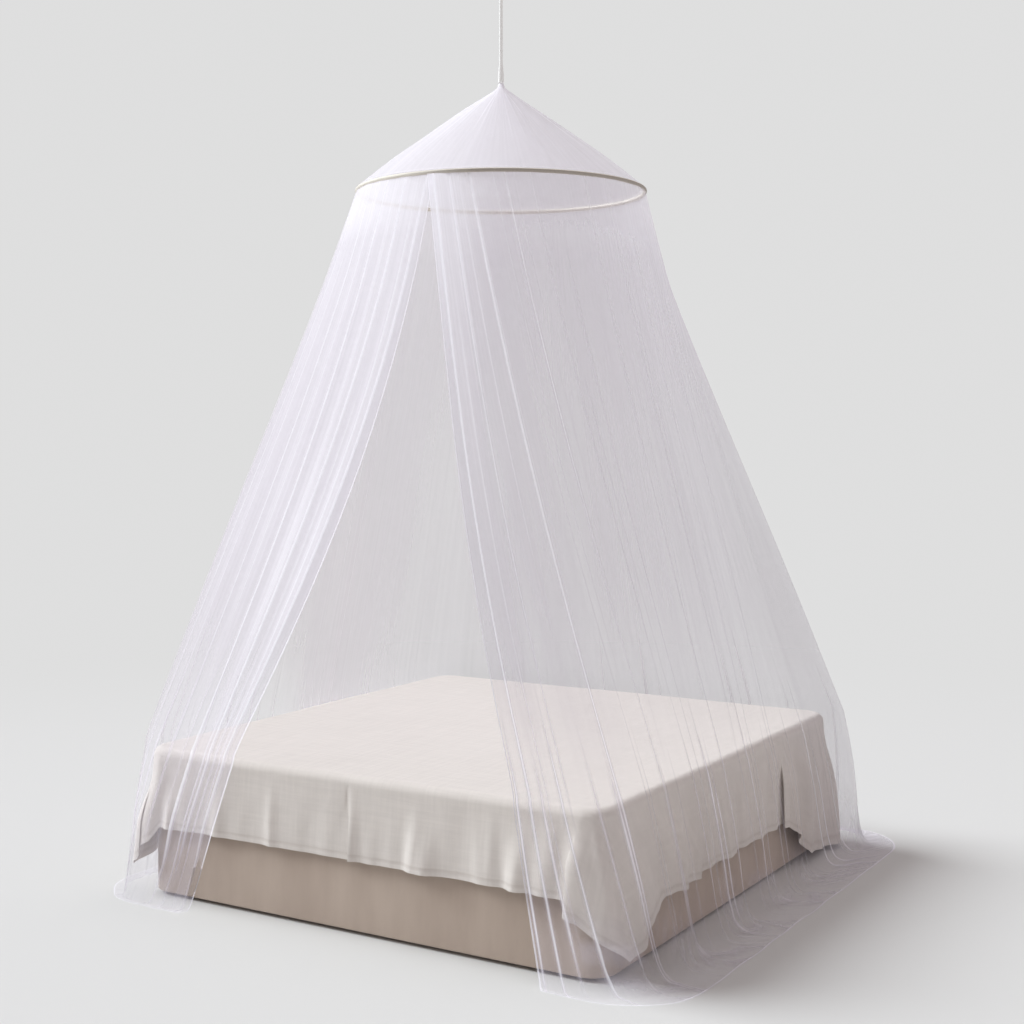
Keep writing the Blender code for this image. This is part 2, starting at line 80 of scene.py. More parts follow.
class Wire:
    # one output of a shader node; sums and products of wires add Math nodes
    def __init__(self, tree, socket=None):
        self.tree, self.socket = tree, socket

    def node(self, kind, settings=None, values=None, output=0):
        made = self.tree.nodes.new(kind)
        for key, value in (settings or {}).items():
            setattr(made, key, value)
        for key, value in (values or {}).items():
            if isinstance(value, Wire):
                self.tree.links.new(value.socket, made.inputs[key])
            else:
                made.inputs[key].default_value = value
        return Wire(self.tree, made.outputs[output])

    def maths(self, operation, *others):
        return self.node("ShaderNodeMath", {"operation": operation}, dict(enumerate((self, *others))))

    def reflected(self, operation, other):
        return self.node("ShaderNodeMath", {"operation": operation}, {0: other, 1: self})

    def __add__(self, other):
        return self.maths("ADD", other)

    def __radd__(self, other):
        return self.reflected("ADD", other)

    def __sub__(self, other):
        return self.maths("SUBTRACT", other)

    def __rsub__(self, other):
        return self.reflected("SUBTRACT", other)

    def __mul__(self, other):
        return self.maths("MULTIPLY", other)

    def __rmul__(self, other):
        return self.reflected("MULTIPLY", other)

    def __pow__(self, other):
        return self.maths("POWER", other)

    def __rpow__(self, other):
        return self.reflected("POWER", other)

    def held(self, low, high):
        return self.maths("MINIMUM", high).maths("MAXIMUM", low)

    def part(self, index):
        return self.node("ShaderNodeSeparateXYZ", None, {0: self}, index)

    def scaled(self, low, high, newLow, newHigh):
        return self.node("ShaderNodeMapRange", {"interpolation_type": "SMOOTHSTEP"},
                         {0: self, 1: low, 2: high, 3: newLow, 4: newHigh})

    def mixed(self, first, second):
        # self is the share of the second colour
        return self.node("ShaderNodeMix", {"data_type": "RGBA"}, {0: self, 6: first, 7: second}, 2)

    def noise(self, at, scale, detail=3.0, roughness=0.5):
        return self.node("ShaderNodeTexNoise", None,
                         {"Vector": at, "Scale": scale, "Detail": detail, "Roughness": roughness})

    def stretched(self, at, scale, turn=(0, 0, 0)):
        return self.node("ShaderNodeMapping", None, {"Vector": at, "Scale": scale, "Rotation": turn})

    def bump(self, height, distance, strength=1.0):
        return self.node("ShaderNodeBump", None,
                         {"Height": height, "Distance": distance, "Strength": strength})


def newMaterial(name, **shine):
    made = bpy.data.materials.new(name)
    made.use_nodes = True
    shader = made.node_tree.nodes["Principled BSDF"]
    for key, value in shine.items():
        shader.inputs[key.replace("_", " ")].default_value = value
    tree = Wire(made.node_tree)
    coords = tree.node("ShaderNodeTexCoord", None, None, 3)  # Object coordinates
    return made, tree, coords, shader


def feed(shader, **wires):
    for key, value in wires.items():
        shader.id_data.links.new(value.socket, shader.inputs[key.replace("_", " ")])


studio = {"backdrop": (0.735, 0.735, 0.735), "floorColour": (0.656, 0.653, 0.640), "sun": 3.60,
          "sunColour": (0.945, 1.0, 1.035), "sunFrom": (-0.77, -0.175, 0.610), "sunSoftness": 37,
          "leftSky": 0.37, "rightSky": 0.65, "nearSky": 0.76, "skyColour": (1.0, 0.93, 0.935),
          "floorSize": 60, "floorDrop": 0.0005, "fadeFrom": 2.6, "fadeTo": 6.5}


def makeSky(settings):
    # dimmer on the left and behind the camera; what is seen past the floor is the plain backdrop
    world = bpy.data.worlds.new("studio")
    scene.world = world
    world.use_nodes = True
    tree = Wire(world.node_tree)
    seen = tree.node("ShaderNodeLightPath")
    towards = tree.node("ShaderNodeTexCoord")
    glow = towards.part(0).scaled(-0.9, 0.9, settings["leftSky"], settings["rightSky"])
    glow = glow * towards.part(1).scaled(-0.9, 0.2, settings["nearSky"], 1.0)
    sky = tree.node("ShaderNodeCombineColor", None,
                    {i: glow * share for i, share in enumerate(settings["skyColour"])})
    feed(world.node_tree.nodes["Background"], Color=seen.mixed(sky, (*settings["backdrop"], 1)))


def makeSun(settings):
    data = bpy.data.lights.new("key", "SUN")
    data.energy = settings["sun"]
    data.color = settings["sunColour"]
    data.angle = math.radians(settings["sunSoftness"])
    key = addObject("key", data)
    key.rotation_euler = Vector(settings["sunFrom"]).to_track_quat("Z", "Y").to_euler()


def makeFloor(settings):
    floor = bmesh.new()
    bmesh.ops.create_grid(floor, x_segments=8, y_segments=8, size=settings["floorSize"])
    mesh = bpy.data.meshes.new("studio_floor")
    floor.to_mesh(mesh)
    floor.free()
    ground = addObject("studio_floor", mesh)
    ground.location.z = -settings["floorDrop"]
    made, tree, coords, shader = newMaterial("studioFloor", Roughness=0.9)
    shader.inputs["Base Color"].default_value = (*settings["floorColour"], 1)
    # the floor fades into the backdrop
    reach = tree.node("ShaderNodeVectorMath", {"operation": "LENGTH"}, {0: coords}, 1)
    away = reach.scaled(settings["fadeFrom"], settings["fadeTo"], 0.0, 1.0)
    glow = tree.node("ShaderNodeEmission", None, {"Color": (*settings["backdrop"], 1)})
    near = Wire(tree.tree, shader.outputs[0])
    mix = tree.node("ShaderNodeMixShader", None, {0: away, 1: near, 2: glow})
    made.node_tree.links.new(mix.socket, made.node_tree.nodes["Material Output"].inputs[0])
    mesh.materials.append(made)


makeSky(studio)
makeSun(studio)
makeFloor(studio)
print("studio ready")


hoopLow, hoopHigh, hoopMiddle = boxOf("hoop")
hoopTube = (hoopHigh.z - hoopLow.z) / 2
hoopRadius = (hoopHigh.x - hoopLow.x) / 2 - hoopTube
axis = Vector((hoopMiddle.x, hoopMiddle.y, 0))

# shade is the colour of the shade painted onto the net's right and far sides
netLook = {"pitch": 0.0018, "cover": 0.185, "least": 0.02, "most": 0.96,
           "single": [(0.690, 0.630, 0.730, 1), (0.750, 0.690, 0.785, 1)],
           "gathered": (0.945, 0.915, 0.985, 1), "shade": (0.30, 0.27, 0.30, 1),
           "rightPaintedShade": 0.46, "backPaintedShade": 0.19}


def netCloth():
    made, tree, coords, shader = newMaterial(
        "netCloth", Roughness=0.75, Sheen_Weight=0.25, Sheen_Roughness=0.5)
    cloth = tree.node("ShaderNodeUVMap")
    layers = tree.node("ShaderNodeAttribute", {"attribute_name": "layers"}, None, 2)
    # knitted mesh: round holes in rows
    step = 2 * math.pi / netLook["pitch"]
    holes = ((cloth.part(0) * step).maths("SINE") * (cloth.part(1) * step).maths("SINE")).maths("ABSOLUTE")
    streaks = tree.noise(tree.stretched(cloth, (9, 0.35, 1)), 1.0, 3.0, 0.55)
    threads = tree.noise(tree.stretched(cloth, (46, 0.5, 1)), 1.0, 2.0, 0.5)
    cloudy = tree.noise(tree.stretched(cloth, (1.6, 0.7, 1)), 1.0, 2.0)
    amount = layers * (1.04 - 0.10 * holes) * (0.36 + 0.62 * streaks + 0.40 * threads + 0.18 * cloudy)
    alpha = 1 - (1 - netLook["cover"]) ** amount
    # single net is greyish, gathered net is white; on the right and far sides shade is painted into the
    # colour, standing for the net's shadow on itself, and it fades out near the floor
    plain = cloudy.mixed(*netLook["single"])
    apart, behind, up = (coords.part(i) for i in range(3))
    right = (apart * 0.8 + behind * 0.25).scaled(0.42, 0.90, 0.0, netLook["rightPaintedShade"])
    shade = right.maths("MAXIMUM", behind.scaled(0.35, 1.0, 0.0, netLook["backPaintedShade"]))
    plain = (shade * up.scaled(0.05, 0.6, 0.0, 1.0)).mixed(plain, netLook["shade"])
    tint = layers.scaled(2.2, 4.4, 0.0, 1.0).mixed(plain, netLook["gathered"])
    feed(shader, Alpha=alpha.held(netLook["least"], netLook["most"]), Base_Color=tint,
         Normal=tree.bump(holes, 0.0004, 0.3), Roughness=0.66 + 0.2 * streaks)
    return made


def cordCotton():
    made, tree, coords, shader = newMaterial("cordCotton", Sheen_Weight=0.2)
    apart, side, up = (coords.part(i) for i in range(3))
    turn = apart.maths("ARCTAN2", side + 0.05)
    left = (turn * 4 + up * 900).maths("SINE")
    right = (turn * 4 - up * 900).maths("SINE")
    braid = left.maths("MAXIMUM", right)
    fluff = tree.noise(coords, 900.0, 3.0)
    tone = fluff.mixed((0.88, 0.87, 0.85, 1), (0.97, 0.965, 0.95, 1))
    feed(shader, Base_Color=tone, Roughness=0.8 + 0.12 * fluff,
         Normal=tree.bump(braid * 0.6 + fluff * 0.4, 0.0003))
    return made


# the taupe colour is partly the bare cane and partly painted shade; the direction given last is the side
# turned away from the light, where it shows
hoopLook = {"laps": 46, "tape": [(0.76, 0.71, 0.62, 1), (0.90, 0.86, 0.78, 1)],
            "caneAndShade": [(0.32, 0.28, 0.24, 1), (0.45, 0.40, 0.35, 1)], "awayFromLight": (0.855, 0.518)}


def creamTape():
    made, tree, coords, shader = newMaterial("creamTape", Coat_Roughness=0.4)
    flat = tree.node("ShaderNodeVectorMath", {"operation": "SUBTRACT"},
                     {0: coords, 1: (axis.x, axis.y, hoopMiddle.z)})
    apart, side, up = (flat.part(i) for i in range(3))
    out = (apart * apart + side * side) ** 0.5 - hoopRadius
    aroundTube = up.maths("ARCTAN2", out)
    # the hoop is drawn taupe on its outer face and cream on top and inside, partly its own two tones and
    # partly painted light: the cream top is a painted highlight, the underside lightens as painted bounce
    # light, and the taupe shows only on the side turned away from the light, a painted shade that fades to
    # cream on the lit left
    face = aroundTube.scaled(0.40, 0.66, 1.0, 0.0) * aroundTube.scaled(-1.9, -0.6, 0.15, 1.0)
    towards = apart * hoopLook["awayFromLight"][0] + side * hoopLook["awayFromLight"][1]
    paintedShadeSide = towards.scaled(-0.38, -0.06, 0.0, 1.0)
    lap = (apart.maths("ARCTAN2", side) * hoopLook["laps"]).maths("FRACT")
    seam = lap.scaled(0.0, 0.07, 0.0, 1.0)
    grain = tree.noise(coords, 140.0, 4.0, 0.6)
    patch = tree.noise(coords, 5.0, 2.0)
    tape = (grain * 0.5 + patch * 0.5).mixed(*hoopLook["tape"])
    caneAndShade = grain.mixed(*hoopLook["caneAndShade"])
    feed(shader, Base_Color=(face * paintedShadeSide).mixed(tape, caneAndShade), Roughness=0.42 + 0.3 * grain,
         Normal=tree.bump(seam * 0.5 + grain * 0.25, 0.0008))
    return made


linenLook = {"pitch": 0.0021, "yarn": [(0.646, 0.600, 0.559, 1), (0.742, 0.690, 0.644, 1)],
             "washed": (0.766, 0.712, 0.665, 1), "hemLine": (0.50, 0.44, 0.39, 1)}


def linenCloth():
    made, tree, _, shader = newMaterial(
        "linenCloth", Sheen_Weight=0.15, Sheen_Roughness=0.6)
    cloth = tree.node("ShaderNodeUVMap")
    warp = tree.noise(tree.stretched(cloth, (420, 9, 1)), 1.0, 3.0, 0.6)
    weft = tree.noise(tree.stretched(cloth, (9, 420, 1)), 1.0, 3.0, 0.6)
    slubs = tree.noise(tree.stretched(cloth, (60, 4, 1)), 1.0, 4.0, 0.7)
    cross = tree.noise(tree.stretched(cloth, (4, 60, 1)), 1.0, 4.0, 0.7)
    washed = tree.noise(cloth, 1.7, 3.0)
    step = 2 * math.pi / linenLook["pitch"]
    weave = (cloth.part(0) * step).maths("SINE") * (cloth.part(1) * step).maths("SINE")
    body = (slubs * 0.5 + cross * 0.5).scaled(0.30, 0.72, 0.0, 1.0)
    tone = (washed * 0.35).mixed(body.mixed(*linenLook["yarn"]), linenLook["washed"])
    hem = tree.node("ShaderNodeAttribute", {"attribute_name": "stitch"}, None, 2)
    tone = (hem * 0.5).mixed(tone, linenLook["hemLine"])
    relief = warp * 0.5 + weft * 0.5 + weave * 0.25 + body * 0.4 - hem * 1.2
    feed(shader, Base_Color=tone, Roughness=0.78 + 0.16 * weft, Normal=tree.bump(relief, 0.0006))
    return made


def taupeSuede():
    made, tree, coords, shader = newMaterial(
        "taupeSuede", Sheen_Weight=0.35, Sheen_Roughness=0.45)
    nap = tree.noise(tree.stretched(coords, (1, 1, 0.45)), 900.0, 3.0, 0.7)
    brushed = tree.noise(tree.stretched(coords, (7, 7, 1.6)), 1.0, 4.0, 0.6)
    patch = tree.noise(coords, 2.1, 2.0)
    shade = (brushed * 0.65 + patch * 0.35).scaled(0.32, 0.68, 0.0, 1.0)
    tone = shade.mixed((0.43, 0.340, 0.278, 1), (0.52, 0.425, 0.352, 1))
    tone = (nap * 0.25).mixed(tone, (0.57, 0.48, 0.41, 1))
    feed(shader, Base_Color=tone, Roughness=0.82 + 0.14 * nap,
         Normal=tree.bump(nap * 0.6 + brushed * 0.6, 0.0009))
    return made


def ticking():
    made, tree, coords, shader = newMaterial("ticking", Sheen_Weight=0.1)
    ribs = (coords.part(0) * 700).maths("SINE")
    fuzz = tree.noise(coords, 300.0, 3.0)
    tone = (ribs * 0.3 + 0.5 * fuzz).mixed((0.74, 0.72, 0.68, 1), (0.86, 0.85, 0.82, 1))
    feed(shader, Base_Color=tone, Roughness=0.85 + 0.1 * fuzz, Normal=tree.bump(ribs, 0.0004))
    return made


def shadowGapBoard():
    made, tree, coords, shader = newMaterial("shadowGapBoard")
    # near black: the shadow gap under the base is painted into the plinth's colour
    fleck = tree.noise(coords, 220.0, 4.0, 0.65)
    tone = fleck.mixed((0.010, 0.009, 0.008, 1), (0.035, 0.031, 0.028, 1))
    feed(shader, Base_Color=tone, Roughness=0.7 + 0.25 * fleck, Normal=tree.bump(fleck, 0.0004))
    return made


def whiteSteel():
    made, tree, coords, shader = newMaterial("whiteSteel", Coat_Weight=0.3, Coat_Roughness=0.2)
    skin = tree.noise(coords, 260.0, 3.0)
    tone = skin.mixed((0.80, 0.80, 0.79, 1), (0.87, 0.87, 0.86, 1))
    feed(shader, Base_Color=tone, Roughness=0.32 + 0.14 * skin, Normal=tree.bump(skin, 0.0002))
    return made


net, cotton, cream, linen = netCloth(), cordCotton(), creamTape(), linenCloth()
suede, tick, gapShade, steel = taupeSuede(), ticking(), shadowGapBoard(), whiteSteel()
print("finishes ready")


def placePiece(name, data, finish, stands):
    data.materials.append(finish)
    piece = addObject(name, data)
    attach(piece, "root")
    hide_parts(stands)
    return piece


def finishPiece(name, shape, finish, stands):
    mesh = bpy.data.meshes.new(name)
    shape.to_mesh(mesh)
    shape.free()
    mesh.shade_smooth()
    return placePiece(name, mesh, finish, stands)


def turnedShape(profile, steps):
    # profile of (radius, height) spun about the upright line through the hoop's middle
    shape = bmesh.new()
    verts = [shape.verts.new((axis.x + r, axis.y, z)) for r, z in profile]
    edges = [shape.edges.new(pair) for pair in zip(verts, verts[1:])]
    return spunRound(shape, verts + edges, steps)


def spunRound(shape, outline, steps):
    bmesh.ops.spin(shape, geom=outline, cent=(axis.x, axis.y, 0), axis=(0, 0, 1),
                   angle=2 * math.pi, steps=steps, use_merge=True)
    bmesh.ops.remove_doubles(shape, verts=shape.verts, dist=0.00002)
    bmesh.ops.recalc_face_normals(shape, faces=shape.faces)
    return shape


def tubePiece(name, points, radius, finish, stands, closed=False):
    curve = bpy.data.curves.new(name, "CURVE")
    curve.dimensions = "3D"
    curve.bevel_depth = radius
    curve.bevel_resolution = 6
    curve.use_fill_caps = True
    spline = curve.splines.new("POLY")
    spline.points.add(len(points) - 1)
    for tubePoint, place in zip(spline.points, points):
        tubePoint.co = (*place, 1)
    spline.use_cyclic_u = closed
    spline.use_smooth = True
    return placePiece(name, curve, finish, stands)


def smooth(value):
    value = np.clip(value, 0, 1)
    return value * value * (3 - 2 * value)


cord = {"steps": 24, "knotTurns": 3, "knotSteps": 24, "knotWaist": 0.80, "knotBulge": 0.17,
        "knotEnd": 0.55, "loopSteps": 48, "slot": "cord_white"}


def makeKnot():
    # turns of cord bound round the standing part
    low, high, _ = boxOf("cord_knot")
    tall, wide = high.z - low.z, (high.x - low.x) / 2
    profile = [(0, high.z)]
    for i in range(cord["knotSteps"] + 1):
        share = i / cord["knotSteps"]
        bulge = cord["knotWaist"] + cord["knotBulge"] * abs(math.sin(cord["knotTurns"] * math.pi * share))
        ends = min(1, 6 * share + cord["knotEnd"], 6 * (1 - share) + cord["knotEnd"])
        profile.append((wide * bulge * ends, high.z - tall * share))
    profile.append((0, low.z))
    return finishPiece("whipped_knot", turnedShape(profile, 32), cotton, "cord_knot")


def makeLoop(radius):
    low, high, middle = boxOf("hanging_loop")
    halfWide, halfTall = (high.y - low.y) / 2 - radius, (high.z - low.z) / 2 - radius
    turns = [2 * math.pi * i / cord["loopSteps"] for i in range(cord["loopSteps"])]
    ring = [(axis.x, middle.y + halfWide * math.sin(t), middle.z + halfTall * math.cos(t)) for t in turns]
    return tubePiece("eye_loop", ring, radius, cotton, "hanging_loop", closed=True)


fitting = {"slot": "white_steel", "rimSteps": 4, "hookSteps": 16, "shank": 0.012, "lip": 0.0006}


def makePlate():
    low, high, _ = boxOf("ceiling_plate")
    edge, rimRadius = (high.x - low.x) / 2, (high.z - low.z) / 2
    profile = [(0, high.z), (edge, high.z), (edge, low.z + rimRadius)]
    for i in range(1, fitting["rimSteps"] + 1):  # the lower rim is a quarter round
        t = math.pi / 2 * i / fitting["rimSteps"]
        profile.append((edge - rimRadius * (1 - math.cos(t)), low.z + rimRadius * (1 - math.sin(t))))
    profile += [(edge * 0.30, low.z), (edge * 0.26, low.z + fitting["lip"]), (0, low.z + fitting["lip"])]
    return finishPiece("hook_plate", turnedShape(profile, 64), steel, "ceiling_plate")


def makeHook():
    low, high, _ = boxOf("ceiling_hook")
    wire = (high.y - low.y) / 2
    bend = high.x - axis.x - wire
    centre = low.z + wire + bend
    route = [(0, high.z), (0, high.z - fitting["shank"]), (bend * 0.4, centre + 0.014),
             (bend * 0.9, centre + 0.006)]
    for i in range(fitting["hookSteps"] + 1):  # half a turn under the loop
        t = math.pi * i / fitting["hookSteps"]
        route.append((bend * math.cos(t), centre - bend * math.sin(t)))
    route.append((-bend * 1.15, centre + 0.008))
    points = [(axis.x + x, axis.y, z) for x, z in route]
    return tubePiece("steel_hook", points, wire, steel, "ceiling_hook")


def makeCord():
    low, high, middle = boxOf("cord")
    radius = (high.x - low.x) / 2
    length = high.z - low.z
    points = [(middle.x, middle.y, low.z + length * i / cord["steps"]) for i in range(cord["steps"] + 1)]
    piece = tubePiece("cord_line", points, radius, cotton, "cord")
    holders = [makeKnot(), makeLoop(radius), makePlate(), makeHook()]


binding = {"slot": "cord_white", "steps": 40, "turns": 12, "top": 0.72, "swell": 0.24, "thread": 0.03}


def makeBinding():
    # thread wound round the gathered neck, snug to the cord at the top
    low, high, _ = boxOf("top_binding")
    wide, tall = (high.x - low.x) / 2, high.z - low.z
    profile = [(0, high.z)]
    for i in range(binding["steps"] + 1):
        share = i / binding["steps"]
        swell = binding["top"] + binding["swell"] * float(smooth(share * 1.6))
        swell += binding["thread"] * math.sin(share * 2 * binding["turns"] * math.pi)
        ends = min(1, 9 * share + 0.86, 9 * (1 - share) + 0.9)
        profile.append((wide * min(swell, 1) * ends, high.z - tall * share))
    profile.append((0, low.z))
    finishPiece("neck_binding", turnedShape(profile, 40), cotton, "top_binding")


makeCord()
makeBinding()
print("cord and fitting ready")


def makeHoop():
    shape = bmesh.new()
    bmesh.ops.create_circle(shape, segments=20, radius=hoopTube)
    bmesh.ops.rotate(shape, matrix=Matrix.Rotation(math.pi / 2, 3, "X"), verts=shape.verts)
    bmesh.ops.translate(shape, vec=(axis.x + hoopRadius, axis.y, hoopMiddle.z), verts=shape.verts)
    spunRound(shape, shape.verts[:] + shape.edges[:], 240)
    finishPiece("wrapped_hoop", shape, cream, "hoop")


makeHoop()
print("hoop ready")

bedLow, bedHigh, _ = boxOf("bed_base")
bedInset = 0.010  # the side of the bedspread stands out past the base by this much
halfBed = ((bedHigh.x - bedLow.x) / 2 + bedInset, (bedHigh.y - bedLow.y) / 2 + bedInset)

# the net hangs on the same tables as its solids
skirt = {
    "flatWidth": 8.0, "flatLength": 2.84, "upperRows": 6, "columns": 700, "upperStep": 3,
    "lowerStep": 6, "seed": 11, "faint": 54, "lower": 60, "waves": 150, "curve": 1.06,
    "sweepLeft": 0.008, "sweepRight": -0.022, "sweepCalm": 0.05, "sweepFrom": 0.40,
    "sweepSpan": 0.20, "foldAtHoop": 0.004, "foldGrows": 0.028, "overlapLift": 0.012,
    "overlapStart": 0.955, "overlapSpan": 0.03, "overlapReach": 0.35, "leanOut": 0.60,
    "soften": 0.86, "catch": 1.2, "hemWide": 0.009, "lineWide": 0.0030, "hemGain": 3.0,
    "floorHemGain": 3.5, "leastPacked": 0.9, "mostPacked": 4.5,
    # shares of the way down: where the cloth crosses the bed's edge, and where it lies on the floor
    "bedEdge": 0.66, "floorAt": 0.86, "floorSpan": 0.08, "sewnTop": 0.0012, "floorClear": 0.0008,
    # creases seen from the front: along, strength, first and last share of the way down
    "lines": [
        (0.0085, 0.95, 0.00, 1.00), (0.0180, 0.45, 0.05, 0.85), (0.0280, 0.30, 0.30, 1.00),
        (0.0365, 0.90, 0.00, 0.92), (0.0480, 0.30, 0.05, 0.70), (0.0640, 0.85, 0.00, 1.00),
        (0.0790, 0.35, 0.00, 0.60), (0.0930, 0.55, 0.00, 0.90), (0.1100, 0.35, 0.10, 0.80),
        (0.1270, 0.50, 0.00, 1.00), (0.1450, 0.40, 0.00, 0.70), (0.1660, 0.50, 0.05, 1.00),
        (0.7250, 0.30, 0.00, 0.80), (0.7560, 0.45, 0.10, 1.00), (0.7850, 0.30, 0.00, 0.70),
        (0.8100, 0.50, 0.00, 0.95), (0.8450, 0.30, 0.15, 1.00), (0.8650, 0.30, 0.00, 0.60),
        (0.8890, 0.60, 0.00, 0.95), (0.9080, 0.25, 0.30, 1.00), (0.9280, 0.80, 0.00, 1.00),
        (0.9440, 0.30, 0.00, 0.50), (0.9600, 0.55, 0.00, 0.75), (0.9740, 0.30, 0.20, 0.90),
        (0.9875, 0.95, 0.00, 1.00),
    ],
    # along, how many times thicker the cloth reads there
    "gather": [(0.00, 1.45), (0.08, 1.62), (0.27, 1.65), (0.38, 1.45), (0.62, 1.35), (0.72, 1.02),
               (0.86, 0.82), (0.95, 1.20), (1.00, 1.40)],
    # height, left, right, foot, head, corner, fall, fold
    "levels": [
        (0.615, 0.006, 0.034, 0.007, 0.040, 0.13, 0.00, 0.026),
        (0.535, 0.020, 0.052, 0.021, 0.064, 0.13, 0.12, 0.026),
        (0.335, 0.055, 0.080, 0.048, 0.095, 0.15, 0.45, 0.030),
        (0.105, 0.090, 0.104, 0.070, 0.125, 0.18, 0.85, 0.034),
        (0.010, 0.114, 0.138, 0.086, 0.160, 0.21, 1.00, 0.028),
        (0.0030, 0.152, 0.215, 0.106, 0.215, 0.25, 1.00, 0.016),
        (0.0012, 0.192, 0.278, 0.124, 0.250, 0.28, 1.00, 0.010),
    ],
    # along, hoop turn, knee turn, floor turn, bow
    "stations": [
        (0.00, -6.4, 27.0, 32.6, -9.2), (0.06, 14.0, 34.0, 38.0, -6.5),
        (0.16, 52.0, 51.0, 52.5, -2.5), (0.28, 96.0, 90.0, 90.0, 0.0),
        (0.41, 143.0, 136.0, 136.0, 0.0), (0.50, 180.0, 178.0, 178.0, 0.0),
        (0.60, 218.0, 218.0, 218.0, 0.0), (0.70, 254.0, 250.0, 250.0, 0.0),
        (0.82, 300.0, 284.0, 281.0, 1.0), (0.92, 338.0, 311.0, 306.5, 1.0),
        (1.00, 356.0, 327.0, 323.3, 2.2),
    ],
    # along, wide, deep
    "folds": [
        (0.012, 0.012, 0.70), (0.040, 0.016, 1.00), (0.074, 0.014, 0.75), (0.104, 0.017, 1.10),
        (0.146, 0.018, 0.90), (0.190, 0.022, 1.00), (0.238, 0.020, 0.70), (0.290, 0.024, 1.05),
        (0.345, 0.022, 0.80), (0.402, 0.025, 1.10), (0.460, 0.022, 0.75), (0.512, 0.024, 1.00),
        (0.566, 0.022, 0.85), (0.622, 0.025, 1.10), (0.676, 0.020, 0.70), (0.722, 0.024, 0.95),
        (0.776, 0.022, 1.05), (0.826, 0.018, 0.70), (0.868, 0.020, 1.00), (0.912, 0.016, 0.80),
        (0.950, 0.014, 1.10), (0.984, 0.012, 0.80),
    ],
}


def throughRows(rows, along):
    # every column of the table as a smooth curve over its first column
    table = np.array(rows)
    last = len(table) - 2
    here = np.clip(np.searchsorted(table[:, 0], along, side="right") - 1, 0, last)
    start, end = table[here], table[here + 1]
    before, after = table[np.maximum(here - 1, 0)], table[np.minimum(here + 2, last + 1)]
    span = (end - start)[:, :1]
    share = (along[:, None] - start[:, :1]) / span
    slopeIn = (end - before) / (end - before)[:, :1]
    slopeOut = (after - start) / (after - start)[:, :1]
    return (start + (end - start) * smooth(share) + slopeIn * span * share * (1 - share) ** 2
            - slopeOut * span * share ** 2 * (1 - share))


def heading(turn):
    angle = np.radians(turn)
    return np.stack([-np.sin(angle), -np.cos(angle)], -1)


def reachOf(turn, level):
    _, left, right, foot, head, corner = level[:6]
    low = np.array([-halfBed[0] - left, -halfBed[1] - foot])
    high = np.array([halfBed[0] + right, halfBed[1] + head])
    middle, half = (low + high) / 2, (high - low) / 2
    towards = heading(turn)
    near, far = np.full(len(turn), 0.5), np.full(len(turn), 2.0)
    for _ in range(32):
        tried = (near + far) / 2
        over = np.abs(np.array(axis.xy) + towards * tried[:, None] - middle) - (half - corner)
        outside = np.hypot(*np.maximum(over, 0).T) + np.minimum(over.max(1), 0)
        far = np.where(outside > corner, tried, far)
        near = np.where(outside > corner, near, tried)
    return near


def mainFolds(along):
    height = np.zeros(len(along))
    for place, wide, deep in skirt["folds"]:
        height += deep * np.exp(-((along - place) / wide) ** 2)
    return height


def skirtKeys(along):
    # the rows of the solid, from hoop to hem: plan direction, reach and height of each point
    station = throughRows(skirt["stations"], along)
    fold = mainFolds(along)
    knee = skirt["levels"][0]
    top = heading(station[:, 1]) * hoopRadius
    topHeight = hoopLow.z + skirt["sewnTop"]  # the sewn edge meets the underside of the hoop
    bottom = heading(station[:, 2]) * reachOf(station[:, 2], knee)[:, None]
    rows = []
    for i in range(skirt["upperRows"]):
        down = i / skirt["upperRows"]
        plan = top + (bottom - top) * down ** skirt["curve"]
        far = np.linalg.norm(plan, axis=1)[:, None]
        towards = plan / far
        sideways = np.stack([-towards[:, 1], towards[:, 0]], -1)
        bow = np.radians(station[:, 4:5]) * math.sin(math.pi * down)
        plan = plan - sideways * bow * far
        lift = fold * (skirt["foldAtHoop"] + skirt["foldGrows"] * smooth(down * 1.3))
        nearEdge = smooth((along - skirt["overlapStart"]) / skirt["overlapSpan"])
        lift += skirt["overlapLift"] * nearEdge * (1 - smooth(down / skirt["overlapReach"]))
        plan += towards * lift[:, None]
        height = topHeight + (knee[0] - topHeight) * down
        rows.append(np.column_stack([plan, np.full(len(along), height)]))
    calm = smooth(np.minimum(along, 1 - along) / skirt["sweepCalm"])
    right = smooth((along - skirt["sweepFrom"]) / skirt["sweepSpan"])
    sweep = (skirt["sweepLeft"] * (1 - right) + skirt["sweepRight"] * right) * calm
    for i, level in enumerate(skirt["levels"]):
        station = throughRows(skirt["stations"], along + sweep * (i / 6) ** 2)
        turn = station[:, 2] + (station[:, 3] - station[:, 2]) * level[6]
        out = reachOf(turn, level) + fold * level[7]
        rows.append(np.column_stack([heading(turn) * out[:, None], np.full(len(along), level[0])]))
    return np.array(rows)


def throughKeys(keys, place):
    # a smooth curve down through the key rows, read at each place from 0 to their count - 1
    here = np.clip(place.astype(int), 0, len(keys) - 2)
    share = (place - here)[:, None, None]
    start, end = keys[here], keys[here + 1]
    before, after = keys[np.maximum(here - 1, 0)], keys[np.minimum(here + 2, len(keys) - 1)]
    slopeIn, slopeOut = (end - before) / 2, (after - start) / 2
    return (start + (end - start) * smooth(share) + slopeIn * share * (1 - share) ** 2
            - slopeOut * share ** 2 * (1 - share))


def columnPlaces(count, marks, width):
    # even columns, and five close ones at each mark so that it stays crisp
    even = np.linspace(0, 1, count)
    close = np.concatenate([marks + width * i for i in (-2, -1, 0, 1, 2)])
    every = np.sort(np.concatenate([even, close[(close > 0) & (close < 1)]]))
    keep = np.concatenate([[True], np.diff(every) > width * 0.25])
    every = every[keep]
    every[0], every[-1] = 0, 1
    return every


